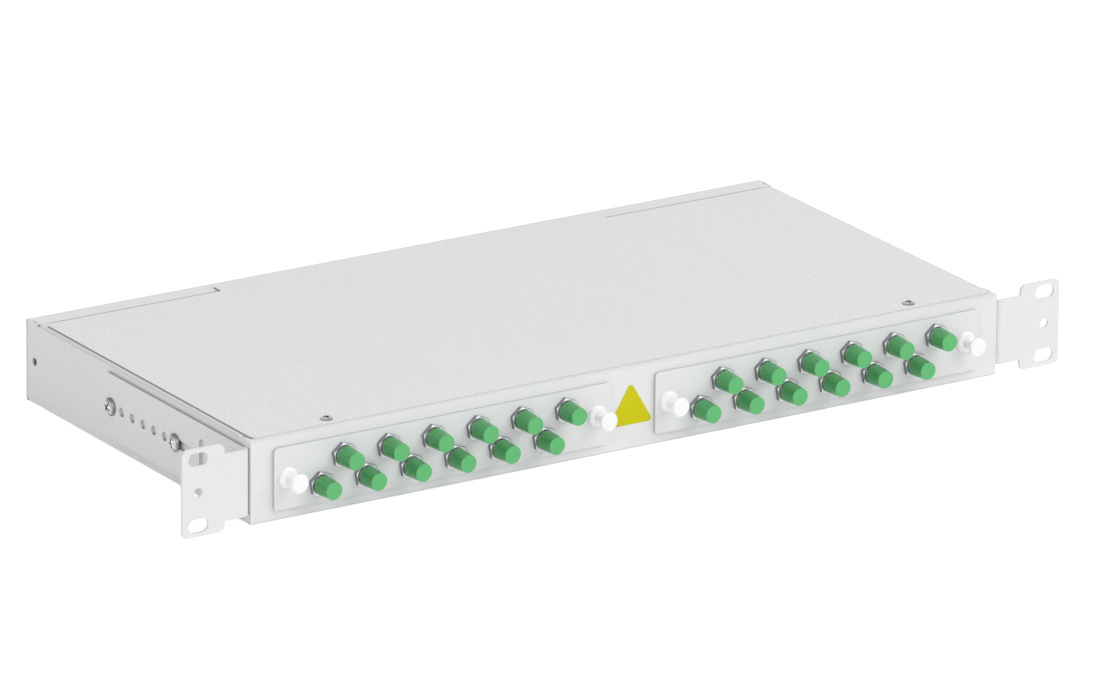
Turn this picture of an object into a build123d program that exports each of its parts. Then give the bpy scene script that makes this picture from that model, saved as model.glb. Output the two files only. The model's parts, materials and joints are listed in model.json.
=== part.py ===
# Fibre patch panel for a 19-inch rack, one unit high, in millimetres.
# X runs to the right, Y to the back and Z up. The origin is the middle of the four rack slots,
# on the plane where the ears touch the rack rails.
import os

from build123d import *

# Rack interface and brackets
slot_span = 465.1
slot_pitch = 31.75
slot_length = 10.5
slot_width = 6.5
ear_span = 482.0
ear_height = 42.4
ear_bore = 4.5
ear_corner = 3.0
blade_width = 22.2
bracket_gauge = 1.5
bracket_bend = 1.6
arm_height = 32.0
arm_reach = 126.8
arm_corner = 2.0
arm_bore = 4.5
arm_hole_pitch = 9.75
arm_hole_count = 6
arm_screw_front = 63.4
arm_slot_run = 14.0
tall_slot_place = 39.7
tall_slot_width = 4.7
tall_slot_height = 17.0

# Tray, folded from one sheet
tray_width = 410.0
tray_depth = 205.0
tray_height = 40.4
tray_drop = 21.0
tray_gauge = 1.0
tray_bend = 0.3
end_flange = 12.0
side_flange = 6.0
bend_relief = 1.6
sheet_seam = 0.3
corner_relief = 1.0
corner_slit = 0.7
corner_slit_run = 4.0
corner_slit_inset = 7.4
side_hole = 4.0
side_hole_inset = 8.0

# Cover
cover_gauge = 0.8
cover_inset = 2.2
cover_rear_gap = 2.6
cover_tab_width = 215.0
cover_tab_lap = 4.0
cover_front_corner = 3.0
cover_rear_corner = 3.5

# Screws and clinch nuts
cover_screw_thread = 3.0
cover_screw_head = 6.0
cover_screw_head_height = 1.25
cover_screw_length = 7.0
cover_screw_span = 320.0
cover_screw_inset = 8.0
cover_nut_length = 3.0
cover_nut_size = 6.0
bracket_screw_thread = 4.0
bracket_screw_head = 8.6
bracket_screw_head_height = 1.9
bracket_screw_length = 6.5
bracket_nut_length = 3.5
bracket_nut_size = 8.0
recess_width = 0.9
recess_share = 0.55
recess_depth = 0.8
head_rim = 0.25
thread_clearance = 0.2
screw_turns = (15.0, 60.0)

# Adapter plates and the windows behind them
plate_gauge = 1.5
plate_width = 181.0
plate_height = 30.0
plate_corner = 2.0
plate_offset = 103.0
panel_drop = 0.65
window_width = 148.0
window_height = 26.0
window_corner = 2.0
port_pitch = 24.0
port_rows = 12.0
ports_in_row = 6

# Adapters
flange_size = 12.0
flange_thickness = 2.0
neck_size = 9.0
neck_flat = 3.9
neck_proud = 0.3
barrel_size = 8.0
barrel_length = 7.0
rear_barrel_length = 8.5
barrel_bore = 6.2
barrel_bore_depth = 6.0
keyway_width = 2.2
keyway_depth = 1.8
holder_outer = 4.4
holder_recess = 1.2
sleeve_outer = 3.2
sleeve_inner = 2.5
sleeve_length = 11.4
sleeve_slit = 0.4
nut_across_flats = 11.0
nut_thickness = 2.4
nut_chamfer = 0.5
nut_turn = 40.0
fit_clearance = 0.1

# Dust caps
cap_base = 9.8
cap_face = 8.5
cap_length = 9.1
cap_gap = 0.9
cap_edge = 0.2
cap_bore_depth = 6.6
rear_cap_size = 9.8
rear_cap_length = 9.8
rear_cap_gap = 0.4
rear_cap_bore_depth = 8.8

# Plunger latches
latch_offset = 83.2
latch_disc = 10.0
latch_disc_height = 2.0
latch_sleeve = 6.2
latch_sleeve_reach = 5.5
latch_hole_clearance = 0.3
latch_bore = 4.2
latch_cut = 1.0
plunger_head = 9.3
plunger_head_height = 2.2
plunger_standoff = 7.2
plunger_tip_reach = 6.5

# Splice tray and what it carries
splice_width = 150.0
splice_depth = 100.0
splice_height = 10.0
splice_corner = 30.0
splice_wall = 1.6
splice_floor = 1.5
splice_front = 62.0
spool_radius = 17.0
spool_offset = 40.0
spool_wall = 1.5
lug_reach = 14.0
lug_width = 12.0
lug_thickness = 3.0
lug_lift = 1.0
lid_thickness = 1.2
lid_inset = 0.3
holder_width = 34.0
holder_depth = 30.0
holder_height = 5.5
holder_grooves = 6
holder_groove = 3.2
holder_spread = 33.0
stud_size = 4.0
stud_collar = 8.0
stud_reach = 11.0
knob_size = 10.0
knob_height = 5.0

# Fibre bend limiters
limiter_radius = 30.0
limiter_wall = 1.6
limiter_height = 24.0
limiter_lip = 5.0
limiter_foot = 8.0
limiter_sweep = 80.0
limiter_x = 143.0
limiter_y = 92.0

# Cable entries, clamps and earth stud on the rear wall
entry_hole = 20.0
entry_places = (-172.0, -132.0, 132.0, 172.0)
grommet_flange = 25.0
grommet_lip = 1.8
grommet_bore = 14.0
clamp_width = 16.0
clamp_depth = 12.0
clamp_height = 10.0
clamp_groove = 3.0
clamp_inset = 24.0
clamp_screw_thread = 4.0
clamp_screw_head = 7.0
clamp_screw_head_height = 2.4
tie_slot_width = 3.0
tie_slot_length = 10.0
tie_slot_spread = 14.0
tie_slot_inset = 44.0
earth_place = 70.0
earth_thread = 6.0
earth_reach = 16.0
earth_head = 10.0
earth_head_height = 4.0
earth_nut_height = 5.0

# Places that follow from the sizes above
tray_front = -bracket_gauge
tray_back = tray_front + tray_depth
tray_bottom = -tray_drop
tray_top = tray_bottom + tray_height
tray_middle = (tray_bottom + tray_top) / 2
tray_centre = (tray_front + tray_back) / 2
floor_top = tray_bottom + tray_gauge
side_face = tray_width / 2
bend_outer = tray_gauge + tray_bend
flange_under = tray_top - tray_gauge
plate_front = tray_front - plate_gauge
nut_front = plate_front - nut_thickness
panel_middle = -panel_drop
cap_back = nut_front - cap_gap
barrel_front = nut_front - barrel_length
flange_back = tray_front + flange_thickness
barrel_back = flange_back + rear_barrel_length
arm_screw_back = arm_screw_front + arm_hole_count * arm_hole_pitch
cover_screw_place = tray_front + cover_screw_inset
latch_front = plate_front - latch_disc_height
splice_middle = splice_front + splice_depth / 2
splice_top = floor_top + splice_height
lug_place = splice_width / 2 + lug_reach / 2
lug_top = floor_top + lug_lift + lug_thickness
clamp_place = tray_back - clamp_inset


def block(low, high):
    """A box between two corners."""
    size = [b - a for a, b in zip(low, high)]
    middle = [(a + b) / 2 for a, b in zip(low, high)]
    return Pos(*middle) * Box(*size)


def rod_x(size, start, end, y, z):
    return Pos((start + end) / 2, y, z) * Rot(0, 90, 0) * Cylinder(size / 2, end - start)


def rod_y(size, start, end, x=0.0, z=0.0):
    return Pos(x, (start + end) / 2, z) * Rot(90, 0, 0) * Cylinder(size / 2, end - start)


def rod_z(size, start, end, x, y):
    return Pos(x, y, (start + end) / 2) * Cylinder(size / 2, end - start)


def turned_y(points):
    """A solid of revolution about the Y axis, from (radius, y) points."""
    outline = make_face(Polyline(*points, close=True))
    return revolve(outline, Axis.Y)


def group(solids):
    return Compound(children=list(solids))


def save(name, shape):
    export_step(shape, os.path.join("parts", name + ".step"))


# Folded tray
def channel(width, height):
    """Section of the sheet folded into a closed ring."""
    outer = RectangleRounded(width, height, bend_outer)
    inner = RectangleRounded(width - 2 * tray_gauge, height - 2 * tray_gauge, tray_bend)
    return outer - inner


def side_fold():
    """Floor, side walls and their bent top edges, which stay straight beside the end flanges."""
    start = tray_front + tray_gauge + sheet_seam
    end = tray_back - tray_gauge - sheet_seam
    plane = Plane(origin=(0, end, tray_middle), x_dir=(1, 0, 0), z_dir=(0, -1, 0))
    fold = extrude(plane * channel(tray_width, tray_height), amount=end - start)
    inner = side_face - side_flange
    fold -= block((-inner, start, flange_under - tray_bend), (inner, end, tray_top))
    front = tray_front + end_flange + sheet_seam
    rear = tray_back - end_flange - sheet_seam
    for low, high in ((start, front), (rear, end)):
        fold -= block((-side_face, low, tray_top - bend_outer), (side_face, high, tray_top))
    clear = bend_outer + sheet_seam
    for low, high in ((tray_front + clear, front - corner_relief), (rear + corner_relief, tray_back - clear)):
        for side in (-1, 1):
            wall = Pos(side * (side_face - tray_gauge / 2), (low + high) / 2, tray_top - bend_outer / 2)
            fold += wall * Box(tray_gauge, high - low, bend_outer)
    for side in (-1, 1):
        for place in (start, end):
            corner = Pos(side * (side_face - bend_outer), place, tray_bottom + bend_outer / 2)
            fold -= corner * Box(2 * bend_outer, 2 * bend_relief, bend_outer)
    return fold


def end_fold():
    """Floor, front and rear walls and their return flanges."""
    plane = Plane(origin=(-side_face, tray_centre, tray_middle), x_dir=(0, 1, 0), z_dir=(1, 0, 0))
    fold = extrude(plane * channel(tray_depth, tray_height), amount=tray_width)
    low = flange_under - tray_bend
    inner = (tray_front + end_flange, tray_back - end_flange)
    fold -= block((-side_face, inner[0], low), (side_face, inner[1], tray_top))
    flat = tray_depth - 2 * bend_outer
    reach = end_flange - bend_outer
    middle = bend_outer + reach / 2
    for side in (-1, 1):
        fold -= Pos(side * side_face, tray_centre, tray_bottom) * Box(2 * bend_relief, flat, 2 * bend_outer)
        for place in (tray_front + middle, tray_back - middle):
            fold -= Pos(side * side_face, place, tray_top) * Box(2 * tray_gauge, reach, 2 * bend_outer)
    return fold


def corner_slits():
    """Open stretches of the welded seams between the end flanges and the side walls."""
    cut = Part()
    for side in (-1, 1):
        for place in (tray_front + corner_slit_inset, tray_back - corner_slit_inset):
            slit = Pos(side * (side_face - tray_gauge), place, tray_top)
            cut += slit * Box(corner_slit, corner_slit_run, 2 * bend_outer)
    return cut


def plate_places():
    return (-plate_offset, plate_offset)


def port_places():
    """Ports of one plate, seen from the plate's middle: lower row first, left to right."""
    first = -(ports_in_row - 0.5) * port_pitch / 2
    places = []
    for row in (-1, 1):
        for index in range(ports_in_row):
            places.append((first + index * port_pitch + (row + 1) * port_pitch / 4, row * port_rows / 2))
    return places


def latch_places():
    return (-latch_offset, latch_offset)


def front_openings():
    """Windows behind the plates and the holes that the latches grip."""
    cut = Part()
    hole = latch_sleeve + 2 * latch_hole_clearance
    for middle in plate_places():
        origin = (middle, tray_front + tray_gauge, panel_middle)
        plane = Plane(origin=origin, x_dir=(1, 0, 0), z_dir=(0, -1, 0))
        window = RectangleRounded(window_width, window_height, window_corner)
        cut += extrude(plane * window, amount=2 * tray_gauge)
        for place in latch_places():
            x = middle + place
            cut += rod_y(hole, tray_front - tray_gauge, tray_front + 2 * tray_gauge, x, panel_middle)
    return cut


def side_openings():
    """Holes for the bracket screws and the pair of holes at the back."""
    hole = bracket_screw_thread + 2 * thread_clearance
    back = tray_back - side_hole_inset
    cut = Part()
    for place, size in ((arm_screw_front, hole), (arm_screw_back, hole), (back, side_hole)):
        cut += rod_x(size, -side_face - tray_gauge, -side_face + 2 * tray_gauge, place, 0)
        cut += rod_x(size, side_face - 2 * tray_gauge, side_face + tray_gauge, place, 0)
    return cut


def rear_openings():
    """Cable entries and the hole of the earth stud."""
    low = tray_back - 2 * tray_gauge
    high = tray_back + tray_gauge
    cut = rod_y(earth_thread + 2 * thread_clearance, low, high, earth_place)
    for place in entry_places:
        cut += rod_y(entry_hole, low, high, place)
    return cut


def floor_openings():
    """Tie slots beside each cable entry, and the holes of the studs and clamp screws."""
    cut = Part()
    low = tray_bottom - tray_gauge
    high = floor_top + tray_gauge
    middle = tray_back - tie_slot_inset
    for place in entry_places:
        for side in (-1, 1):
            x = place + side * tie_slot_spread / 2
            cut += Pos(x, middle, floor_top) * Box(tie_slot_width, tie_slot_length, 4 * tray_gauge)
        cut += rod_z(clamp_screw_thread + 2 * thread_clearance, low, high, place, clamp_place)
    for side in (-1, 1):
        cut += rod_z(stud_size + 2 * fit_clearance, low, high, side * lug_place, splice_middle)
    return cut


def flange_openings():
    """Holes of the cover screws in the front return flange."""
    cut = Part()
    for side in (-1, 1):
        hole = cover_screw_thread + 4 * thread_clearance
        x = side * cover_screw_span / 2
        cut += rod_z(hole, flange_under - tray_gauge, tray_top + tray_gauge, x, cover_screw_place)
    return cut


def chassis_tray():
    tray = side_fold() + end_fold()
    for openings in (corner_slits, front_openings, side_openings):
        tray -= openings()
    for openings in (rear_openings, floor_openings, flange_openings):
        tray -= openings()
    return tray


# Cover and its screws
def top_cover():
    half = side_face - cover_inset
    front = tray_front + cover_inset
    back = tray_back - end_flange - cover_rear_gap
    sheet = Pos(0, (front + back) / 2) * Rectangle(2 * half, back - front)
    sheet = fillet(sheet.vertices().sort_by(Axis.Y)[:2], cover_front_corner)
    sheet = fillet(sheet.vertices().group_by(Axis.Y)[-1], cover_rear_corner)
    tab_back = tray_back - end_flange + cover_tab_lap
    sheet += Pos(0, (back + tab_back) / 2) * Rectangle(cover_tab_width, tab_back - back)
    cover = extrude(Plane.XY.offset(tray_top) * sheet, amount=cover_gauge)
    hole = cover_screw_thread + 4 * thread_clearance
    for side in (-1, 1):
        x = side * cover_screw_span / 2
        cover -= rod_z(hole, tray_top - cover_gauge, tray_top + 2 * cover_gauge, x, cover_screw_place)
    return cover


def pan_screw(thread, head, head_height, length):
    """A cross-recess screw along Z, with its domed head's seat at zero and its shank below."""
    rise = head_height * (1 - head_rim)
    radius = ((head / 2) ** 2 + rise ** 2) / (2 * rise)
    dome = Pos(0, 0, head_height - radius) * Sphere(radius)
    screw = dome & (Pos(0, 0, head_height / 2) * Cylinder(head / 2, head_height))
    screw += Pos(0, 0, -length / 2) * Cylinder(thread / 2, length)
    for turn in (0, 90):
        slot = Pos(0, 0, head_height - recess_depth / 2) * Rot(0, 0, turn)
        screw -= slot * Box(head * recess_share, recess_width, recess_depth)
    return screw


def clinch_nut(thread, size, length):
    """A round clinch nut along Z, with its flat end at zero and its body below."""
    body = Pos(0, 0, -length / 2) * Cylinder(size / 2, length)
    return body - Pos(0, 0, -length / 2) * Cylinder(thread / 2 + thread_clearance, length)


def cover_screws():
    screw = pan_screw(cover_screw_thread, cover_screw_head, cover_screw_head_height, cover_screw_length)
    seat = tray_top + cover_gauge
    return group(Pos(side * cover_screw_span / 2, cover_screw_place, seat) * screw for side in (-1, 1))


def cover_nuts():
    nut = clinch_nut(cover_screw_thread, cover_nut_size, cover_nut_length)
    reach = cover_screw_span / 2
    return group(Pos(side * reach, cover_screw_place, flange_under) * nut for side in (-1, 1))


# Brackets
def bracket_sheet(side_of_arm):
    """The bent strip of a left bracket, seen from above and drawn up to its full height."""
    near = -side_face
    far = -ear_span / 2
    outer = bracket_bend + bracket_gauge
    ear = Pos((near + far) / 2, -bracket_gauge / 2) * Rectangle(near - far, bracket_gauge)
    arm_middle = (arm_reach - bracket_gauge) / 2
    arm = Pos(near - bracket_gauge / 2, arm_middle) * Rectangle(bracket_gauge, arm_reach + bracket_gauge)
    strip = ear + arm
    strip += Pos(near - outer / 2, -bracket_gauge + outer / 2) * Rectangle(outer, outer)
    inner = Pos(near - outer, -bracket_gauge + outer) * Circle(bracket_bend)
    strip -= inner
    strip = fillet(strip.vertices().sort_by_distance((near, -bracket_gauge, 0))[0], outer)
    return extrude(Plane.XY.offset(-side_of_arm / 2) * strip, amount=side_of_arm)


def ear_outline():
    """Front view of a left ear: the tall blade and the neck that joins it to the arm."""
    far = -ear_span / 2
    blade = Pos(far + blade_width / 2, 0) * RectangleRounded(blade_width, ear_height, ear_corner)
    neck_reach = -side_face - far - blade_width / 2
    neck = Pos(-side_face - neck_reach / 2, 0) * Rectangle(neck_reach, arm_height)
    ear = blade + neck
    for height in (-slot_pitch / 2, slot_pitch / 2):
        ear -= Pos(-slot_span / 2, height) * SlotOverall(slot_length, slot_width)
    return ear - Pos(-slot_span / 2, 0) * Circle(ear_bore / 2)


def arm_outline():
    """Side view of an arm, from the ear back, with its holes."""
    arm = Pos((arm_reach - bracket_gauge) / 2, 0) * Rectangle(arm_reach + bracket_gauge, arm_height)
    arm = fillet(arm.vertices().group_by(Axis.X)[-1], arm_corner)
    for index in range(1, arm_hole_count + 1):
        arm -= Pos(arm_screw_front + index * arm_hole_pitch, 0) * Circle(arm_bore / 2)
    slot_end = arm_screw_front + arm_bore / 2
    slot_run = arm_slot_run + arm_bore
    arm -= Pos(slot_end - slot_run / 2, 0) * SlotOverall(slot_run, arm_bore)
    arm -= Pos(tall_slot_place, 0) * SlotOverall(tall_slot_height, tall_slot_width, rotation=90)
    return arm


def left_bracket():
    """The bent strip, trimmed to the ear's outline in front and to the arm's outline at the side."""
    strip = bracket_sheet(ear_height)
    bend = bracket_bend + bracket_gauge
    front_plane = Plane(origin=(0, bracket_gauge, 0), x_dir=(1, 0, 0), z_dir=(0, -1, 0))
    ear = extrude(front_plane * ear_outline(), amount=3 * bracket_gauge)
    side_plane = Plane(origin=(-side_face, 0, 0), x_dir=(0, 1, 0), z_dir=(1, 0, 0))
    arm = extrude(side_plane * arm_outline(), amount=bend, both=True)
    arm_side = block((-side_face - bend, -bracket_gauge, -ear_height), (-side_face, arm_reach, ear_height))
    return ((strip - arm_side) & ear) + (strip & arm_side & arm)


def bracket_screws():
    screw = pan_screw(bracket_screw_thread, bracket_screw_head, bracket_screw_head_height, bracket_screw_length)
    seat = side_face + bracket_gauge
    places = list(zip((arm_screw_front, arm_screw_back), screw_turns))
    left = [Pos(-seat, place, 0) * Rot(0, -90, 0) * Rot(0, 0, turn) * screw for place, turn in places]
    right = [Pos(seat, place, 0) * Rot(0, 90, 0) * Rot(0, 0, turn) * screw for place, turn in places]
    return group(left + right)


def bracket_nuts():
    nut = clinch_nut(bracket_screw_thread, bracket_nut_size, bracket_nut_length)
    inside = side_face - tray_gauge
    places = (arm_screw_front, arm_screw_back)
    left = [Pos(-inside, place, 0) * Rot(0, -90, 0) * nut for place in places]
    right = [Pos(inside, place, 0) * Rot(0, 90, 0) * nut for place in places]
    return group(left + right)


# Adapter plates
def neck_outline(clearance):
    """Round neck of an adapter with one flat, which stops it from turning."""
    size = neck_size / 2 + clearance
    flat = neck_flat + clearance
    return Circle(size) - Pos(0, -flat - size / 2) * Rectangle(2 * size, size)


def adapter_plate():
    plane = Plane(origin=(0, tray_front, 0), x_dir=(1, 0, 0), z_dir=(0, -1, 0))
    sheet = RectangleRounded(plate_width, plate_height, plate_corner)
    for x, z in port_places():
        sheet -= Pos(x, z) * neck_outline(fit_clearance)
    for x in latch_places():
        sheet -= Pos(x, 0) * Circle(latch_sleeve / 2 + fit_clearance)
    return extrude(plane * sheet, amount=plate_gauge)


def adapter():
    """One adapter about the Y axis: rear barrel, flange, flatted neck and front barrel, hollow at both ends."""
    plane = Plane(origin=(0, tray_front, 0), x_dir=(1, 0, 0), z_dir=(0, -1, 0))
    body = extrude(plane * neck_outline(0), amount=tray_front - nut_front + neck_proud)
    body += rod_y(flange_size, tray_front, flange_back)
    body += rod_y(barrel_size, barrel_front, barrel_back)
    body -= rod_y(barrel_bore, barrel_front, barrel_front + barrel_bore_depth)
    body -= rod_y(barrel_bore, barrel_back - barrel_bore_depth, barrel_back)
    for end in (barrel_front, barrel_back):
        body -= Pos(0, end, barrel_size / 2) * Box(keyway_width, 2 * keyway_depth, barrel_size / 2)
    body += rod_y(holder_outer, barrel_front + holder_recess, barrel_back - holder_recess)
    return body - rod_y(sleeve_outer + 2 * fit_clearance, barrel_front, barrel_back)


def adapter_nut():
    """Flat hex nut, its front corners chamfered by a cone."""
    plane = Plane(origin=(0, plate_front, 0), x_dir=(1, 0, 0), z_dir=(0, -1, 0))
    outline = RegularPolygon(nut_across_flats / 2, 6, major_radius=False, rotation=nut_turn)
    outline -= Circle(neck_size / 2 + fit_clearance)
    nut = extrude(plane * outline, amount=nut_thickness)
    face = nut_across_flats / 2
    rim = face + 2 * nut_chamfer
    return nut & turned_y([
        (0, nut_front),
        (face, nut_front),
        (rim, nut_front + nut_chamfer),
        (rim, plate_front),
        (0, plate_front),
    ])


def alignment_sleeve():
    middle = (barrel_front + barrel_back) / 2
    start = middle - sleeve_length / 2
    end = middle + sleeve_length / 2
    sleeve = rod_y(sleeve_outer, start, end) - rod_y(sleeve_inner, start, end)
    return sleeve - Pos(0, middle, sleeve_outer / 2) * Box(sleeve_slit, sleeve_length, sleeve_outer)


def front_cap():
    """Tapered dust cap about the Y axis, open towards the adapter."""
    face = cap_back - cap_length
    bore = barrel_size / 2 + fit_clearance
    return turned_y([
        (0, face),
        (cap_face / 2 - cap_edge, face),
        (cap_face / 2, face + cap_edge),
        (cap_base / 2, cap_back),
        (bore, cap_back),
        (bore, cap_back - cap_bore_depth),
        (0, cap_back - cap_bore_depth),
    ])


def rear_cap():
    start = flange_back + rear_cap_gap
    end = start + rear_cap_length
    bore = barrel_size / 2 + fit_clearance
    return turned_y([
        (rear_cap_size / 2, start),
        (rear_cap_size / 2, end),
        (0, end),
        (0, start + rear_cap_bore_depth),
        (bore, start + rear_cap_bore_depth),
        (bore, start),
    ])


def on_ports(piece):
    return [Pos(x, 0, z) * piece for x, z in port_places()]


# Plunger latches
def latch_grommet():
    """Disc in front of the plate and a split sleeve that reaches through plate and wall."""
    end = tray_front + tray_gauge + latch_sleeve_reach
    disc = rod_y(latch_disc, latch_front, plate_front)
    disc = fillet(disc.edges().group_by(Axis.Y)[0], latch_disc_height / 2)
    grommet = disc + rod_y(latch_sleeve, plate_front, end)
    grommet -= rod_y(latch_bore, latch_front, end)
    for turn in (0, 90):
        middle = (tray_front + tray_gauge + end) / 2
        slit = Box(latch_cut, end - tray_front - tray_gauge, latch_sleeve)
        grommet -= Pos(0, middle, 0) * Rot(0, turn, 0) * slit
    return grommet


def latch_plunger():
    """Round head, stem and a tapered tip that spreads the sleeve."""
    head_back = latch_front - plunger_standoff
    head_front = head_back - plunger_head_height
    stem = latch_bore / 2 - fit_clearance
    tip = tray_front + tray_gauge + plunger_tip_reach
    round_edge = plunger_head_height / 3
    return turned_y([
        (0, head_front),
        (plunger_head / 2 - round_edge, head_front),
        (plunger_head / 2, head_front + round_edge),
        (plunger_head / 2, head_back - round_edge),
        (plunger_head / 2 - round_edge, head_back),
        (stem, head_back),
        (stem, tip - stem / 2),
        (stem / 2, tip),
        (0, tip),
    ])


def on_latches(piece):
    return [Pos(x, 0, 0) * piece for x in latch_places()]


# Splice tray
def splice_tray():
    """Shallow moulded tray with rounded ends, two winding spools and a lug at each side."""
    inner_width = splice_width - 2 * splice_wall
    inner_depth = splice_depth - 2 * splice_wall
    outline = Pos(0, splice_middle) * RectangleRounded(splice_width, splice_depth, splice_corner)
    hollow = Pos(0, splice_middle) * RectangleRounded(inner_width, inner_depth, splice_corner - splice_wall)
    tray = extrude(Plane.XY.offset(floor_top) * outline, amount=splice_height)
    tray -= extrude(Plane.XY.offset(floor_top + splice_floor) * hollow, amount=splice_height)
    for side in (-1, 1):
        spool = Circle(spool_radius) - Circle(spool_radius - spool_wall)
        place = Pos(side * spool_offset, splice_middle, floor_top)
        tray += place * extrude(spool, amount=splice_height - lid_thickness)
        lug = Pos(side * lug_place, splice_middle, lug_top - lug_thickness / 2)
        tray += lug * Box(lug_reach, lug_width, lug_thickness)
        tray -= rod_z(stud_size + 2 * fit_clearance, floor_top, lug_top, side * lug_place, splice_middle)
    return tray


def splice_tray_lid():
    width = splice_width - 2 * lid_inset
    depth = splice_depth - 2 * lid_inset
    outline = Pos(0, splice_middle) * RectangleRounded(width, depth, splice_corner - lid_inset)
    return extrude(Plane.XY.offset(splice_top) * outline, amount=lid_thickness)


def splice_holder():
    """Block with round grooves that grip the splice protectors."""
    base = floor_top + splice_floor
    block_top = base + holder_height
    half = (holder_width / 2, holder_depth / 2)
    holder = block((-half[0], -half[1], base), (half[0], half[1], block_top))
    pitch = holder_depth / holder_grooves
    for index in range(holder_grooves):
        y = (index + 0.5) * pitch - holder_depth / 2
        holder -= rod_x(holder_groove, -holder_width / 2, holder_width / 2, y, block_top)
    return holder


def splice_holders():
    places = (splice_middle - holder_spread, splice_middle + holder_spread)
    return group(Pos(0, place, 0) * splice_holder() for place in places)


def tray_stud():
    stud = rod_z(stud_size, tray_bottom, tray_bottom + stud_reach, 0, 0)
    return stud + rod_z(stud_collar, floor_top, floor_top + lug_lift, 0, 0)


def knurled_nut():
    nut = Pos(0, 0, lug_top + knob_height / 2) * Cylinder(knob_size / 2, knob_height)
    nut = fillet(nut.edges().group_by(Axis.Z)[-1], knob_height / 6)
    return nut - rod_z(stud_size + 2 * fit_clearance, lug_top, lug_top + knob_height, 0, 0)


def on_lugs(piece):
    return group(Pos(side * lug_place, splice_middle, 0) * piece for side in (-1, 1))


# Fibre bend limiters
def bend_limiter():
    """Curved wall with a foot inside and a lip outside at its top, about the Z axis."""
    outer = limiter_radius
    inner = outer - limiter_wall
    top = floor_top + limiter_height
    section = make_face(Polyline(
        (inner - limiter_foot, floor_top),
        (outer, floor_top),
        (outer, top - limiter_wall),
        (outer + limiter_lip, top - limiter_wall),
        (outer + limiter_lip, top),
        (inner, top),
        (inner, floor_top + limiter_wall),
        (inner - limiter_foot, floor_top + limiter_wall),
        close=True))
    wall = revolve(Plane.XZ * section, Axis.Z, limiter_sweep)
    return Rot(0, 0, -limiter_sweep / 2) * wall


def bend_limiters():
    pieces = []
    for side in (-1, 1):
        for facing in (90, -90):
            pieces.append(Pos(side * limiter_x, limiter_y, 0) * Rot(0, 0, facing) * bend_limiter())
    return group(pieces)


# Rear wall fittings
def cable_grommet():
    """Rubber ring that grips the rear wall in its groove."""
    inside = tray_back - tray_gauge
    rim = grommet_flange / 2
    neck = entry_hole / 2 - fit_clearance
    return turned_y([
        (grommet_bore / 2, inside - grommet_lip),
        (rim, inside - grommet_lip),
        (rim, inside),
        (neck, inside),
        (neck, tray_back),
        (rim, tray_back),
        (rim, tray_back + grommet_lip),
        (grommet_bore / 2, tray_back + grommet_lip),
    ])


def cable_clamp():
    """Block on the floor with a groove for the cable's strength member."""
    clamp = block((-clamp_width / 2, clamp_place - clamp_depth / 2, floor_top),
                  (clamp_width / 2, clamp_place + clamp_depth / 2, floor_top + clamp_height))
    groove_x = clamp_width / 2 - clamp_groove
    clamp -= rod_y(clamp_groove, clamp_place - clamp_depth, clamp_place + clamp_depth, groove_x,
                   floor_top + clamp_height)
    hole = clamp_screw_thread + 2 * thread_clearance
    return clamp - rod_z(hole, floor_top, floor_top + clamp_height, 0, clamp_place)


def clamp_screw():
    length = clamp_height + tray_gauge
    screw = pan_screw(clamp_screw_thread, clamp_screw_head, clamp_screw_head_height, length)
    return Pos(0, clamp_place, floor_top + clamp_height) * screw


def on_entries(piece):
    return group(Pos(place, 0, 0) * piece for place in entry_places)


def earth_stud():
    """Hex bolt through the rear wall, head inside."""
    inside = tray_back - tray_gauge
    plane = Plane(origin=(earth_place, inside, 0), x_dir=(1, 0, 0), z_dir=(0, -1, 0))
    head = extrude(plane * RegularPolygon(earth_head / 2, 6, major_radius=False), amount=earth_head_height)
    return head + rod_y(earth_thread, inside, tray_back + earth_reach, earth_place)


def earth_nut():
    plane = Plane(origin=(earth_place, tray_back, 0), x_dir=(1, 0, 0), z_dir=(0, -1, 0))
    outline = RegularPolygon(earth_head / 2, 6, major_radius=False)
    outline -= Circle(earth_thread / 2 + fit_clearance)
    return extrude(plane * outline, amount=-earth_nut_height)


def main():
    os.makedirs("parts", exist_ok=True)
    save("chassis_tray", chassis_tray())
    save("top_cover", top_cover())
    save("cover_screws", cover_screws())
    save("cover_nuts", cover_nuts())
    bracket = left_bracket()
    save("bracket_left", bracket)
    save("bracket_right", mirror(bracket, Plane.YZ))
    save("bracket_screws", bracket_screws())
    save("bracket_nuts", bracket_nuts())
    plate = adapter_plate()
    groups = {
        "adapters": on_ports(adapter()),
        "adapter_nuts": on_ports(adapter_nut()),
        "alignment_sleeves": on_ports(alignment_sleeve()),
        "rear_caps": on_ports(rear_cap()),
        "latch_grommets": on_latches(latch_grommet()),
    }
    cap = front_cap()
    plunger = latch_plunger()
    number = 0
    for side, middle in zip(("left", "right"), plate_places()):
        spot = Pos(middle, 0, panel_middle)
        save("adapter_plate_" + side, spot * plate)
        for name, pieces in groups.items():
            save(name + "_" + side, group(spot * piece for piece in pieces))
        for end, place in zip(("outer", "inner") if middle < 0 else ("inner", "outer"), latch_places()):
            save("latch_plunger_" + side + "_" + end, spot * Pos(place, 0, 0) * plunger)
        for x, z in port_places():
            number += 1
            save("dust_cap_%02d" % number, spot * Pos(x, 0, z) * cap)
    save("splice_tray", splice_tray())
    save("splice_tray_lid", splice_tray_lid())
    save("splice_holders", splice_holders())
    save("tray_studs", on_lugs(tray_stud()))
    save("tray_nuts", on_lugs(knurled_nut()))
    save("bend_limiters", bend_limiters())
    save("cable_grommets", on_entries(cable_grommet()))
    save("cable_clamps", on_entries(cable_clamp()))
    save("clamp_screws", on_entries(clamp_screw()))
    save("earth_stud", earth_stud())
    save("earth_nut", earth_nut())


main()
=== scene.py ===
import json
import math

import bmesh
import bpy
from mathutils import Matrix, Vector


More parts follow.
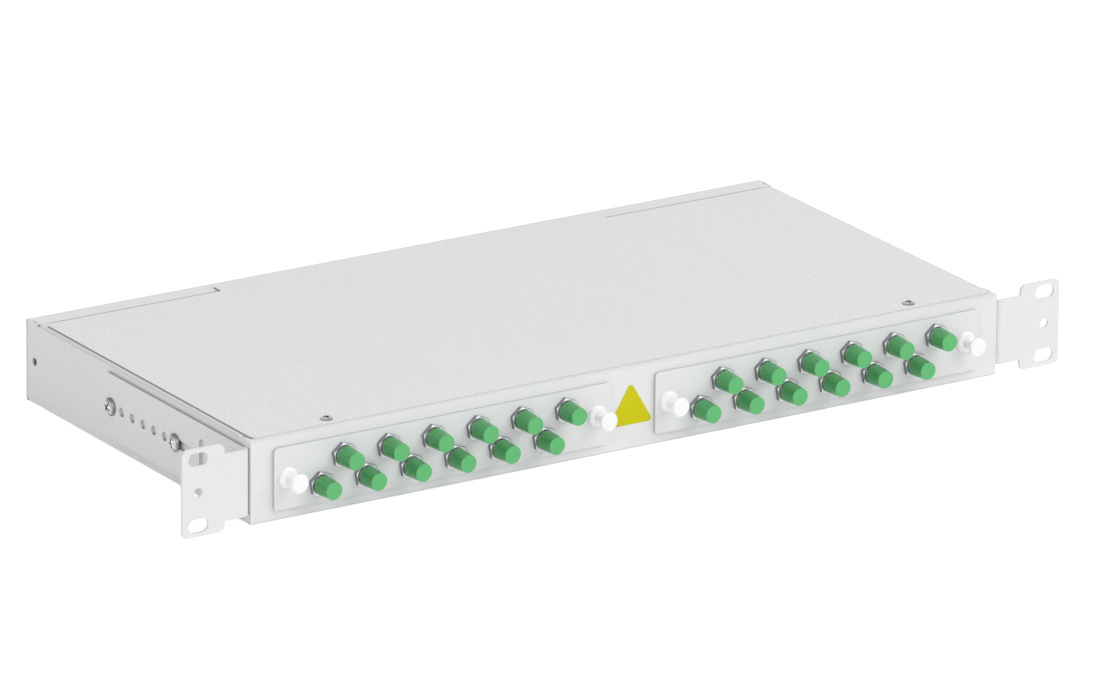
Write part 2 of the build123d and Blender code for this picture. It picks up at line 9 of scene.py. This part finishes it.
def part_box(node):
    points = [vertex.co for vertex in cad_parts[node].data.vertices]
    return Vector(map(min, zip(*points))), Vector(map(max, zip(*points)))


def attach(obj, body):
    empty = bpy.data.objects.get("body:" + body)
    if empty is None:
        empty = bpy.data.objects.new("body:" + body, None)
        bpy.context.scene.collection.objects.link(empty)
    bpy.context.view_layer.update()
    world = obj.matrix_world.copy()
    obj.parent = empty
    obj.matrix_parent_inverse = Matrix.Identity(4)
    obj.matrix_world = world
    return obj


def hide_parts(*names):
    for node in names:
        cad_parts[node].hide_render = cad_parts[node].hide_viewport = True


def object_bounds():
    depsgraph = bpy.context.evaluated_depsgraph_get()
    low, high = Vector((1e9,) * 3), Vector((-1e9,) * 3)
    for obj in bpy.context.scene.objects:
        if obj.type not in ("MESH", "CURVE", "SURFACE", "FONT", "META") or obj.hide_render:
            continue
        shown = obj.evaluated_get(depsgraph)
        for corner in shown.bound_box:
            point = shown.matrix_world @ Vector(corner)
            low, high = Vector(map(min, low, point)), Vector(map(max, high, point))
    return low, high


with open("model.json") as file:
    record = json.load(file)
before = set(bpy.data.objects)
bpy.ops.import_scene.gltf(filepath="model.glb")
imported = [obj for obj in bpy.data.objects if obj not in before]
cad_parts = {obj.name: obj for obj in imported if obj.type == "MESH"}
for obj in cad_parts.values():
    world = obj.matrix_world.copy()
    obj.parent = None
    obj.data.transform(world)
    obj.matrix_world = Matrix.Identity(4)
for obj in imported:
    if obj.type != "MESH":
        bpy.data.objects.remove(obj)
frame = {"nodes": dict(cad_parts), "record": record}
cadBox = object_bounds()
print("frame loaded:", len(frame["nodes"]), "nodes")

mm = 0.001  # the dictionaries give millimetres, apart from those of the stage, lamps and camera


def addNode(tree, kind, **settings):
    node = tree.nodes.new(kind)
    for key, value in settings.items():
        if key in node.inputs:
            node.inputs[key].default_value = value
        else:
            setattr(node, key, value)
    return node


def newMaterial(name):
    material = bpy.data.materials.new(name)
    material.use_nodes = True
    tree = material.node_tree
    tree.nodes.clear()
    output = tree.nodes.new("ShaderNodeOutputMaterial")
    shader = tree.nodes.new("ShaderNodeBsdfPrincipled")
    place = tree.nodes.new("ShaderNodeTexCoord")
    tree.links.new(shader.outputs["BSDF"], output.inputs["Surface"])
    return material, tree, shader, place


def noiseOf(tree, place, size, detail):
    noise = addNode(tree, "ShaderNodeTexNoise", Scale=1 / size, Detail=detail)
    tree.links.new(place, noise.inputs["Vector"])
    return noise.outputs["Fac"]


def spread(tree, value, low, high, start=0.3, end=0.7):
    # Maps start to end, by default the range that most noise lies in, onto low to high
    node = addNode(tree, "ShaderNodeMapRange")
    node.inputs["From Min"].default_value = start
    node.inputs["From Max"].default_value = end
    node.inputs["To Min"].default_value = low
    node.inputs["To Max"].default_value = high
    tree.links.new(value, node.inputs["Value"])
    return node.outputs["Result"]


def mixColor(tree, factor, low, high):
    # Inputs 6 and 7 and output 2 are the Mix node's colour sockets
    node = addNode(tree, "ShaderNodeMix", data_type="RGBA")
    for socket, color in ((node.inputs[6], low), (node.inputs[7], high)):
        if isinstance(color, bpy.types.NodeSocket):
            tree.links.new(color, socket)
        else:
            socket.default_value = (*color, 1)
    tree.links.new(factor, node.inputs[0])
    return node.outputs[2]


def addBump(tree, height, distance, before=None):
    node = addNode(tree, "ShaderNodeBump", Strength=1.0, Distance=distance)
    tree.links.new(height, node.inputs["Height"])
    if before:
        tree.links.new(before, node.inputs["Normal"])
    return node.outputs["Normal"]


def mathOf(tree, operation, first, second=None):
    node = addNode(tree, "ShaderNodeMath", operation=operation)
    for socket, value in zip(node.inputs, (first, second)):
        if isinstance(value, bpy.types.NodeSocket):
            tree.links.new(value, socket)
        elif value is not None:
            socket.default_value = value
    return node.outputs[0]


edgeRamp = {"start": 0.55, "end": 0.8}  # how far a face leans along the axis before it counts as an edge


def paintedShadeMask(tree, coordinates, rules):
    # The mask of painted shade: the rule's share on the faces that look along its axis, either way unless it
    # has a side, only behind its depth or above its height if it has one, and only up to its stop, which leaves
    # the bends beside a flat face
    facing = addNode(tree, "ShaderNodeSeparateXYZ")
    spot = addNode(tree, "ShaderNodeSeparateXYZ")
    tree.links.new(coordinates.outputs["Normal"], facing.inputs[0])
    tree.links.new(coordinates.outputs["Object"], spot.inputs[0])
    mask = 0.0
    for rule in rules:
        if "side" in rule:
            tilt = mathOf(tree, "MULTIPLY", facing.outputs[rule["axis"]], rule["side"])
        else:
            tilt = mathOf(tree, "ABSOLUTE", facing.outputs[rule["axis"]])
        ramp = {**edgeRamp, **rule}
        edge = spread(tree, tilt, 0, 1, ramp["start"], ramp["end"])
        if "stop" in rule:
            edge = mathOf(tree, "MULTIPLY", edge, spread(tree, tilt, 1, 0, rule["stop"], 1.0))
        for key, axis in (("behind", "Y"), ("above", "Z")):
            if key in rule:
                beyond = mathOf(tree, "GREATER_THAN", spot.outputs[axis], rule[key] * mm)
                edge = mathOf(tree, "MULTIPLY", edge, beyond)
        part = mathOf(tree, "MULTIPLY", edge, rule.get("share", 1.0))
        mask = mathOf(tree, "MAXIMUM", part, mask)
    return mask


noiseDetail = {"grain": 4.0, "patch": 2.0, "wave": 1.0}
speckRange = (0.5, 0.75)  # the peaks of the grain's noise that turn into specks


def grainMaterial(name, values):
    material, tree, shader, coordinates = newMaterial(name)
    place = coordinates.outputs["Object"]
    fine = noiseOf(tree, place, values["grainSize"] * mm, noiseDetail["grain"])
    broad = noiseOf(tree, place, values["patchSize"] * mm, noiseDetail["patch"])
    tint = mixColor(tree, spread(tree, broad, 0, 1), values["color"], values["patchColor"])
    speck = spread(tree, fine, 0, values["speckle"], *speckRange)
    color = mixColor(tree, speck, tint, values["speckColor"])
    # Painted shade: the faces that the rules pick are darkened towards the painted shade colour
    if "edges" in values:
        edges = paintedShadeMask(tree, coordinates, values["edges"])
        color = mixColor(tree, edges, color, values["paintedShadeColor"])
    tree.links.new(color, shader.inputs["Base Color"])
    rough = spread(tree, fine, values["roughness"][0], values["roughness"][1])
    tree.links.new(rough, shader.inputs["Roughness"])
    normal = addBump(tree, fine, values["grainHeight"] * mm)
    if "waveHeight" in values:
        waves = noiseOf(tree, place, values["waveSize"] * mm, noiseDetail["wave"])
        normal = addBump(tree, waves, values["waveHeight"] * mm, normal)
    tree.links.new(normal, shader.inputs["Normal"])
    shader.inputs["Metallic"].default_value = values.get("metallic", 0.0)
    for key in ("Transmission Weight", "Specular IOR Level"):
        if key in values:
            shader.inputs[key].default_value = values[key]
    return material


powderCoat = {
    "color": (0.735, 0.742, 0.746), "patchColor": (0.72, 0.728, 0.736), "speckColor": (0.82, 0.825, 0.83),
    "speckle": 0.6, "patchSize": 60.0, "grainSize": 0.8, "grainHeight": 0.08, "roughness": (0.42, 0.56),
    "waveSize": 90.0, "waveHeight": 0.5,
    "edges": (
        {"axis": "Z", "side": 1.0, "start": 0.1, "end": 0.4, "stop": 0.85, "share": 0.24},  # painted shade on the bends that face up, which damps their highlight
        {"axis": "Y", "side": -1.0, "behind": 185.0, "above": 15.0},  # painted shadow on what faces forward at the rear flange, along the gap behind the cover
    ),
    # The colour of the painted shade on those bends and faces
    "paintedShadeColor": (0.30, 0.305, 0.31),
}
# The same coat with painted shade on the edge faces of the plates, the cover and the bracket arms, standing in
# for the dark gap and contact-shadow lines there, with a coarser grain on the cover
plateCoat = {**powderCoat, "edges": ({"axis": "X"}, {"axis": "Z"}), "paintedShadeColor": (0.50, 0.50, 0.505)}
coverCoat = {
    **powderCoat, "color": (0.722, 0.728, 0.734), "patchColor": (0.71, 0.717, 0.726), "speckle": 1.0,
    "speckColor": (0.86, 0.865, 0.87), "grainSize": 1.0, "grainHeight": 0.1,
    "edges": ({"axis": "X"}, {"axis": "Y", "share": 0.3}), "paintedShadeColor": (0.30, 0.30, 0.305),
}
bracketCoat = {
    **powderCoat, "edges": ({"axis": "Z", "behind": 3.0}, {"axis": "Y", "behind": 3.0, "share": 0.3}),
    "paintedShadeColor": (0.36, 0.36, 0.355),
}
zincScrews = {
    "color": (0.62, 0.63, 0.65), "patchColor": (0.72, 0.73, 0.74), "speckColor": (0.40, 0.40, 0.41),
    "speckle": 0.3, "patchSize": 2.0, "grainSize": 0.25, "grainHeight": 0.008, "roughness": (0.14, 0.26),
    "metallic": 1.0,
}
# Painted shade and dark reflection on the bracket screw heads' rims, the faces that look across the screw's
# axis
sideScrews = {
    **zincScrews, "color": (0.56, 0.57, 0.59), "patchColor": (0.66, 0.67, 0.69),
    "edges": ({"axis": "Y", "start": 0.3, "end": 0.75}, {"axis": "Z", "start": 0.25, "end": 0.7}),
    "paintedShadeColor": (0.17, 0.175, 0.19),
}
# Painted shade and dark reflection on the cover screw heads' sides, the faces that look across the screw's axis
topScrews = {
    **zincScrews, "color": (0.46, 0.47, 0.48), "patchColor": (0.54, 0.55, 0.56),
    "edges": ({"axis": "X", "start": 0.4, "end": 0.8}, {"axis": "Y", "start": 0.3, "end": 0.7}),
    "paintedShadeColor": (0.11, 0.115, 0.125),
}
nickelBrass = {
    "color": (0.62, 0.62, 0.64), "patchColor": (0.70, 0.70, 0.71), "speckColor": (0.46, 0.46, 0.48),
    "speckle": 0.25, "patchSize": 3.0, "grainSize": 0.2, "grainHeight": 0.006, "roughness": (0.12, 0.24),
    "metallic": 1.0,
}
# Painted shade and dark reflection on the nuts' hex flats, the faces that look sideways and up or down
nutNickel = {
    **nickelBrass, "color": (0.48, 0.48, 0.50), "patchColor": (0.53, 0.53, 0.55), "roughness": (0.3, 0.42),
    "edges": ({"axis": "X"}, {"axis": "Z"}), "paintedShadeColor": (0.27, 0.275, 0.29),
}
whiteCeramic = {
    "color": (0.86, 0.86, 0.84), "patchColor": (0.82, 0.82, 0.80), "speckColor": (0.9, 0.9, 0.88),
    "speckle": 0.2, "patchSize": 2.0, "grainSize": 0.1, "grainHeight": 0.002, "roughness": (0.08, 0.15),
}
# Painted shade on the caps' sides, where the plate and the neighbouring caps shade them, while the ends keep
# the plain green
greenCaps = {
    "color": (0.085, 0.44, 0.135), "patchColor": (0.08, 0.42, 0.125), "speckColor": (0.12, 0.50, 0.18),
    "speckle": 0.25, "patchSize": 4.0, "grainSize": 0.3, "grainHeight": 0.006, "roughness": (0.2, 0.3),
    "edges": ({"axis": "X"}, {"axis": "Z"}), "paintedShadeColor": (0.052, 0.29, 0.085),
}
whiteNylon = {
    "color": (0.88, 0.88, 0.88), "patchColor": (0.86, 0.86, 0.865), "speckColor": (0.90, 0.90, 0.90),
    "speckle": 0.2, "patchSize": 5.0, "grainSize": 0.3, "grainHeight": 0.008, "roughness": (0.3, 0.42),
}
trayPlastic = {
    "color": (0.42, 0.43, 0.44), "patchColor": (0.40, 0.41, 0.42), "speckColor": (0.50, 0.51, 0.52),
    "speckle": 0.3, "patchSize": 20.0, "grainSize": 0.5, "grainHeight": 0.02, "roughness": (0.4, 0.52),
}
clearLid = {
    "color": (0.85, 0.88, 0.90), "patchColor": (0.82, 0.86, 0.88), "speckColor": (0.9, 0.92, 0.94),
    "speckle": 0.2, "patchSize": 30.0, "grainSize": 0.8, "grainHeight": 0.006, "roughness": (0.05, 0.12),
    "Transmission Weight": 0.85,
}
holderRubber = {
    "color": (0.035, 0.035, 0.04), "patchColor": (0.028, 0.028, 0.03), "speckColor": (0.06, 0.06, 0.06),
    "speckle": 0.4, "patchSize": 6.0, "grainSize": 0.4, "grainHeight": 0.02, "roughness": (0.6, 0.78),
}
blackPlastic = {
    "color": (0.022, 0.022, 0.025), "patchColor": (0.018, 0.018, 0.02), "speckColor": (0.05, 0.05, 0.05),
    "speckle": 0.35, "patchSize": 10.0, "grainSize": 0.5, "grainHeight": 0.025, "roughness": (0.42, 0.58),
}
blackRubber = {
    "color": (0.016, 0.016, 0.016), "patchColor": (0.013, 0.013, 0.013), "speckColor": (0.035, 0.035, 0.035),
    "speckle": 0.4, "patchSize": 8.0, "grainSize": 0.35, "grainHeight": 0.02, "roughness": (0.62, 0.8),
}
earthBrass = {
    "color": (0.60, 0.42, 0.16), "patchColor": (0.52, 0.35, 0.12), "speckColor": (0.70, 0.52, 0.24),
    "speckle": 0.3, "patchSize": 4.0, "grainSize": 0.25, "grainHeight": 0.01, "roughness": (0.24, 0.38),
    "metallic": 1.0,
}

finishes = {
    "powder_coat": powderCoat, "zinc_screws": zincScrews, "nickel_brass": nickelBrass,
    "ceramic": whiteCeramic, "green_caps": greenCaps, "white_nylon": whiteNylon,
    "tray_plastic": trayPlastic, "clear_lid": clearLid, "holder_rubber": holderRubber,
    "black_plastic": blackPlastic, "black_rubber": blackRubber, "earth_brass": earthBrass,
    "plate_coat": plateCoat, "cover_coat": coverCoat, "bracket_coat": bracketCoat,
    "side_screws": sideScrews, "top_screws": topScrews, "nut_nickel": nutNickel,
}
finishOfNode = {
    "adapter_plate_left": "plate_coat", "adapter_plate_right": "plate_coat", "top_cover": "cover_coat",
    "bracket_left": "bracket_coat", "bracket_right": "bracket_coat", "bracket_screws": "side_screws",
    "cover_screws": "top_screws", "adapter_nuts_left": "nut_nickel", "adapter_nuts_right": "nut_nickel",
}
materials = {name: grainMaterial(name, values) for name, values in finishes.items()}


def dress(piece, material):
    if not piece.material_slots:
        piece.data.materials.append(material)
    for slot in piece.material_slots:
        slot.link = "OBJECT"
        slot.material = material


slotOfNode = {part["node"]: part["material_slot"] for part in frame["record"]["subparts"]}
for nodeName, piece in frame["nodes"].items():
    dress(piece, materials[finishOfNode.get(nodeName, slotOfNode[nodeName])])
print("materials set:", len(materials))


def addPiece(name, mesh, body, slotName, finish=None):
    piece = bpy.data.objects.new(name, mesh)
    bpy.context.scene.collection.objects.link(piece)
    piece.data.materials.append(materials[finish or slotName])
    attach(piece, body)
    return piece


def newGroup(name, inputs):
    # A tree with the named inputs, and the identifiers that a modifier sets them by
    group = bpy.data.node_groups.new(name, "GeometryNodeTree")
    sockets = {}
    for label, kind in (("Geometry", "Geometry"), *inputs, ("Material", "Material")):
        socket = group.interface.new_socket(label, in_out="INPUT", socket_type="NodeSocket" + kind)
        sockets[label] = socket.identifier
    group.interface.new_socket("Geometry", in_out="OUTPUT", socket_type="NodeSocketGeometry")
    return group, sockets


def joinNodes(group, inside, fromInput, between):
    # Links the group's own inputs to its nodes, then the nodes to each other
    for label, target, socket in fromInput:
        group.links.new(inside.outputs[label], target.inputs[socket])
    for source, output, target, socket in between:
        group.links.new(source.outputs[output], target.inputs[socket])


# Crest, root, core and ridge are radii
thread = {
    "pitch": 0.75, "crest": 4.0, "root": 3.62, "ridge": 0.34, "ridgeSides": 4, "segments": 28,
    "startGap": 0.4, "endGap": 1.9, "neckGap": 0.2, "crestSlack": 0.05, "mergeGap": 0.0005,
}
studThread = {
    "core": 3.0, "pitch": 1.0, "ridge": 0.24, "proud": 0.12, "endGap": 0.6, "nutGap": 0.4, "segments": 32,
}
knurl = {"count": 30, "ridge": 0.42, "sides": 6, "endGap": 0.9}


def threadGroup():
    group, sockets = newGroup("threadOnPoints", (
        ("Turns", "Float"), ("Radius", "Float"), ("Length", "Float"), ("Ridge", "Float"),
        ("Segments", "Int"),
    ))
    inside = addNode(group, "NodeGroupInput")
    outside = addNode(group, "NodeGroupOutput")
    helix = addNode(group, "GeometryNodeCurveSpiral")
    profile = addNode(group, "GeometryNodeCurvePrimitiveCircle", mode="RADIUS")
    profile.inputs["Resolution"].default_value = thread["ridgeSides"]
    tube = addNode(group, "GeometryNodeCurveToMesh")
    tube.inputs["Fill Caps"].default_value = True
    spot = addNode(group, "GeometryNodeInstanceOnPoints")
    spot.inputs["Rotation"].default_value = (math.radians(90), 0, 0)  # the helix rises to the front
    real = addNode(group, "GeometryNodeRealizeInstances")
    paint = addNode(group, "GeometryNodeSetMaterial")
    joinNodes(group, inside, (
        ("Turns", helix, "Rotations"), ("Radius", helix, "Start Radius"), ("Radius", helix, "End Radius"),
        ("Length", helix, "Height"), ("Segments", helix, "Resolution"), ("Ridge", profile, "Radius"),
        ("Geometry", spot, "Points"), ("Material", paint, "Material"),
    ), (
        (helix, "Curve", tube, "Curve"), (profile, "Curve", tube, "Profile Curve"),
        (tube, "Mesh", spot, "Instance"), (spot, "Instances", real, "Geometry"),
        (real, "Geometry", paint, "Geometry"), (paint, "Geometry", outside, "Geometry"),
    ))
    return group, sockets


def knurlGroup():
    group, sockets = newGroup("knurlOnPoints", (
        ("Count", "Int"), ("Radius", "Float"), ("Height", "Float"), ("Ridge", "Float"), ("Sides", "Int"),
    ))
    inside = addNode(group, "NodeGroupInput")
    outside = addNode(group, "NodeGroupOutput")
    ring = addNode(group, "GeometryNodeMeshCircle")
    ridge = addNode(group, "GeometryNodeMeshCylinder")
    around = addNode(group, "GeometryNodeInstanceOnPoints")
    rim = addNode(group, "GeometryNodeRealizeInstances")
    spot = addNode(group, "GeometryNodeInstanceOnPoints")
    real = addNode(group, "GeometryNodeRealizeInstances")
    paint = addNode(group, "GeometryNodeSetMaterial")
    joinNodes(group, inside, (
        ("Count", ring, "Vertices"), ("Radius", ring, "Radius"), ("Sides", ridge, "Vertices"),
        ("Ridge", ridge, "Radius"), ("Height", ridge, "Depth"), ("Geometry", spot, "Points"),
        ("Material", paint, "Material"),
    ), (
        (ring, "Mesh", around, "Points"), (ridge, "Mesh", around, "Instance"),
        (around, "Instances", rim, "Geometry"), (rim, "Geometry", spot, "Instance"),
        (spot, "Instances", real, "Geometry"), (real, "Geometry", paint, "Geometry"),
        (paint, "Geometry", outside, "Geometry"),
    ))
    return group, sockets


def growOn(name, tool, points, values, body, slotName):
    # One plain mesh of what the tool grows on every point
    group, sockets = tool
    mesh = bpy.data.meshes.new(name + "_points")
    mesh.from_pydata(points, [], [])
    holder = bpy.data.objects.new(name + "_holder", mesh)
    bpy.context.scene.collection.objects.link(holder)
    modifier = holder.modifiers.new(name, "NODES")
    modifier.node_group = group
    for key, value in values.items():
        modifier[sockets[key]] = value
    modifier[sockets["Material"]] = materials[slotName]
    holder.update_tag()
    seen = holder.evaluated_get(bpy.context.evaluated_depsgraph_get())
    grown = bpy.data.meshes.new_from_object(seen)
    bpy.data.objects.remove(holder)
    grown.materials.clear()
    return addPiece(name, grown, body, slotName)


portsPerPlate = 12


def portsOf(side):
    # The middles of the plate's caps, in x and z
    ports = []
    first = 1 if side == "left" else 1 + portsPerPlate
    for number in range(first, first + portsPerPlate):
        low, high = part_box("dust_cap_%02d" % number)
        ports.append(((low.x + high.x) / 2, (low.z + high.z) / 2))
    return ports


screwHead = {"rise": 1.35, "bracketSheet": 1.5, "mergeGap": 0.0005}


def tallScrews(values):
    # A copy of the bracket screws whose heads stand as high as the photograph shows
    build = bmesh.new()
    build.from_mesh(frame["nodes"]["bracket_screws"].data)
    bmesh.ops.remove_doubles(build, verts=build.verts, dist=values["mergeGap"] * mm)
    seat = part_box("chassis_tray")[1].x + values["bracketSheet"] * mm
    for vertex in build.verts:
        proud = abs(vertex.co.x) - seat
        if proud > 0:
            vertex.co.x = math.copysign(seat + proud * values["rise"], vertex.co.x)
    mesh = bpy.data.meshes.new("tall_bracket_screws")
    build.to_mesh(mesh)
    build.free()
    piece = addPiece("tall_bracket_screws", mesh, "housing", "zinc_screws", "side_screws")
    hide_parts("bracket_screws")


tallScrews(screwHead)
print("bracket screws made")


def threadedAdapters(side, ports, back):
    # A copy of the adapters whose front barrels are turned down to the thread's root
    build = bmesh.new()
    build.from_mesh(frame["nodes"]["adapters_" + side].data)
    bmesh.ops.remove_doubles(build, verts=build.verts, dist=thread["mergeGap"] * mm)
    for vertex in build.verts:
        if vertex.co.y > back:
            continue
        for x, z in ports:
            radius = math.hypot(vertex.co.x - x, vertex.co.z - z)
            if abs(radius - thread["crest"] * mm) < thread["crestSlack"] * mm:
                share = thread["root"] * mm / radius
                vertex.co.x = x + (vertex.co.x - x) * share
                vertex.co.z = z + (vertex.co.z - z) * share
                break
    mesh = bpy.data.meshes.new("threaded_adapters_" + side)
    build.to_mesh(mesh)
    build.free()
    piece = addPiece("threaded_adapters_" + side, mesh, "plate_" + side, "nickel_brass")
    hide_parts("adapters_" + side)


threadTool = threadGroup()
for side in ("left", "right"):
    ports = portsOf(side)
    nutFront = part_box("adapter_nuts_" + side)[0].y
    start = nutFront - thread["startGap"] * mm
    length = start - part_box("adapters_" + side)[0].y - thread["endGap"] * mm
    threadedAdapters(side, ports, nutFront - thread["neckGap"] * mm)
    growOn("barrel_threads_" + side, threadTool, [(x, start, z) for x, z in ports], {
        "Turns": length / thread["pitch"] / mm, "Radius": (thread["crest"] - thread["ridge"]) * mm,
        "Length": length, "Ridge": thread["ridge"] * mm, "Segments": thread["segments"],
    }, "plate_" + side, "nickel_brass")
print("barrel threads made")


def makeStudThread(values):
    low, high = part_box("earth_stud")
    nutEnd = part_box("earth_nut")[1].y
    end = high.y - values["endGap"] * mm
    length = end - nutEnd - values["nutGap"] * mm
    middle = ((low.x + high.x) / 2, end, (low.z + high.z) / 2)
    growOn("earth_stud_thread", threadTool, [middle], {
        "Turns": length / values["pitch"] / mm, "Length": length, "Ridge": values["ridge"] * mm,
        "Radius": (values["core"] + values["proud"] - values["ridge"]) * mm, "Segments": values["segments"],
    }, "housing", "earth_brass")


def makeKnurls(values):
    low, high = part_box("tray_nuts")
    radius = (high.y - low.y) / 2
    middle = ((low.y + high.y) / 2, (low.z + high.z) / 2)
    points = [(x, *middle) for x in (low.x + radius, high.x - radius)]
    growOn("tray_nut_knurls", knurlGroup(), points, {
        "Count": values["count"], "Radius": radius - values["ridge"] * mm / 2,
        "Height": high.z - low.z - 2 * values["endGap"] * mm, "Ridge": values["ridge"] * mm,
        "Sides": values["sides"],
    }, "housing", "black_plastic")


makeStudThread(studThread)
makeKnurls(knurl)
print("stud thread and knurls made")

sticker = {
    "centreX": -0.3, "bottom": -8.8, "height": 20.8, "side": 25.0, "corner": 1.6, "cornerSteps": 8,
    "thickness": 0.15,
}
stickerVinyl = {
    "color": (0.59, 0.555, 0.006), "patchColor": (0.56, 0.53, 0.006), "speckColor": (0.62, 0.59, 0.03),
    "speckle": 0.25, "patchSize": 12.0, "grainSize": 0.25, "grainHeight": 0.006, "roughness": (0.3, 0.42),
    "Specular IOR Level": 0.08,
}


def roundedTriangle(values):
    # The outline in x and z, each corner an arc about a middle on its bisector
    half = values["side"] / 2
    low = values["bottom"]
    corners = [Vector((-half, low)), Vector((half, low)), Vector((0, low + values["height"]))]
    outline = []
    for index, corner in enumerate(corners):
        before = (corners[index - 1] - corner).normalized()
        after = (corners[(index + 1) % 3] - corner).normalized()
        halfAngle = before.angle(after) / 2
        middle = corner + (before + after).normalized() * (values["corner"] / math.sin(halfAngle))
        cut = values["corner"] / math.tan(halfAngle)
        start = corner + before * cut - middle
        end = corner + after * cut - middle
        for step in range(values["cornerSteps"] + 1):
            spot = start.lerp(end, step / values["cornerSteps"]).normalized() * values["corner"]
            outline.append(middle + spot)
    return outline


def makeSticker(values, wall):
    # A ring of points on the wall and one in front of it, closed by a back, a front and the sides
    outline = roundedTriangle(values)
    count = len(outline)
    points = []
    for depth in (wall, wall - values["thickness"] * mm):
        points += [((values["centreX"] + p.x) * mm, depth, p.y * mm) for p in outline]
    faces = [range(count - 1, -1, -1), range(count, 2 * count)]
    for index in range(count):
        after = (index + 1) % count
        faces.append((index + count, index, after, after + count))
    mesh = bpy.data.meshes.new("blank_sticker")
    mesh.from_pydata(points, [], faces)
    return mesh


materials["sticker"] = grainMaterial("sticker", stickerVinyl)
stickerMesh = makeSticker(sticker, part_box("chassis_tray")[0].y)
blankSticker = bpy.data.objects.new("blank_sticker", stickerMesh)
bpy.context.scene.collection.objects.link(blankSticker)
blankSticker.data.materials.append(materials["sticker"])
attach(blankSticker, "housing")
print("sticker made")

stage = {
    "floorColor": (0.93, 0.93, 0.93), "floorSize": 30.0, "floorGlow": 0.55, "worldStrength": 0.6,
    "backdrop": 1.0,
}


def seenRays(tree):
    # 1 for rays that show the background: camera, mirror and see-through rays
    path = tree.nodes.new("ShaderNodeLightPath")
    mirrored = mathOf(tree, "MAXIMUM", path.outputs["Is Camera Ray"], path.outputs["Is Glossy Ray"])
    return mathOf(tree, "MAXIMUM", mirrored, path.outputs["Is Transmission Ray"])


def makeFloor(values, height):
    size = values["floorSize"] / 2
    mesh = bpy.data.meshes.new("floor")
    corners = [(x * size, y * size, height) for x, y in ((-1, -1), (1, -1), (1, 1), (-1, 1))]
    mesh.from_pydata(corners, [], [(0, 1, 2, 3)])
    floor = bpy.data.objects.new("floor", mesh)
    bpy.context.scene.collection.objects.link(floor)
    material = bpy.data.materials.new("floor")
    material.use_nodes = True
    tree = material.node_tree
    tree.nodes.clear()
    output = tree.nodes.new("ShaderNodeOutputMaterial")
    matte = addNode(tree, "ShaderNodeBsdfDiffuse", Color=(*values["floorColor"], 1))
    glow = addNode(tree, "ShaderNodeEmission", Color=(1, 1, 1, 1))
    add = tree.nodes.new("ShaderNodeAddShader")
    tree.links.new(mathOf(tree, "MULTIPLY", seenRays(tree), values["floorGlow"]), glow.inputs["Strength"])
    tree.links.new(matte.outputs[0], add.inputs[0])
    tree.links.new(glow.outputs[0], add.inputs[1])
    tree.links.new(add.outputs[0], output.inputs["Surface"])
    mesh.materials.append(material)


def makeWorld(values):
    world = bpy.data.worlds.new("studio")
    world.use_nodes = True
    bpy.context.scene.world = world
    tree = world.node_tree
    tree.nodes.clear()
    output = tree.nodes.new("ShaderNodeOutputWorld")
    sky = addNode(tree, "ShaderNodeBackground", Color=(1, 1, 1, 1))
    pick = addNode(tree, "ShaderNodeMapRange")
    pick.inputs["To Min"].default_value = values["worldStrength"]
    pick.inputs["To Max"].default_value = values["backdrop"]
    tree.links.new(seenRays(tree), pick.inputs["Value"])
    tree.links.new(pick.outputs["Result"], sky.inputs["Strength"])
    tree.links.new(sky.outputs[0], output.inputs["Surface"])


makeFloor(stage, cadBox[0].z)
makeWorld(stage)

lamps = {  # metres and watts, each lamp turned to the origin
    "key": {"place": (1.4, -1.6, 2.3), "size": 3.0, "power": 53.0},
    "fill": {"place": (-1.8, -1.8, 1.0), "size": 1.6, "power": 14.0},
}


def addLamp(name, values):
    light = bpy.data.lights.new(name, "AREA")
    light.size = values["size"]
    light.energy = values["power"]
    lamp = bpy.data.objects.new(name, light)
    lamp.location = values["place"]
    lamp.rotation_euler = (-Vector(values["place"])).to_track_quat("-Z", "Y").to_euler()
    bpy.context.scene.collection.objects.link(lamp)


for lampName, lampValues in lamps.items():
    addLamp(lampName, lampValues)

# Solved from the panel's straight edges: angles in radians, the focal length and the width in
# pixels of the photograph, the sensor in millimetres and the rest in metres
camera = {
    "focal": 11179.6915, "imageWidth": 1094, "sensor": 36.0, "clipStart": 0.1, "clipEnd": 100.0,
    "azimuth": -0.566521, "elevation": 0.328533, "roll": 0.008248,
    "across": -0.038076171, "up": 0.025602425, "distance": 5.176827614,
}


def addCamera(values):
    azimuth, elevation, roll = values["azimuth"], values["elevation"], values["roll"]
    level = math.cos(elevation)
    look = Vector((-math.sin(azimuth) * level, math.cos(azimuth) * level, -math.sin(elevation)))
    side = look.cross(Vector((0, 0, 1))).normalized()
    top = side.cross(look)
    right = math.cos(roll) * side + math.sin(roll) * top
    above = -math.sin(roll) * side + math.cos(roll) * top
    place = -look * values["distance"] + right * values["across"] + above * values["up"]
    lens = bpy.data.cameras.new("camera")
    lens.sensor_width = values["sensor"]
    lens.sensor_fit = "HORIZONTAL"
    lens.lens = values["focal"] / values["imageWidth"] * values["sensor"]
    lens.clip_start = values["clipStart"]
    lens.clip_end = values["clipEnd"]
    view = bpy.data.objects.new("camera", lens)
    turn = Matrix((right, above, -look)).transposed().to_4x4()
    view.matrix_world = Matrix.Translation(place) @ turn
    bpy.context.scene.collection.objects.link(view)
    bpy.context.scene.camera = view


addCamera(camera)
bpy.context.scene.view_settings.view_transform = "Standard"
print("stage, lamps and camera set")
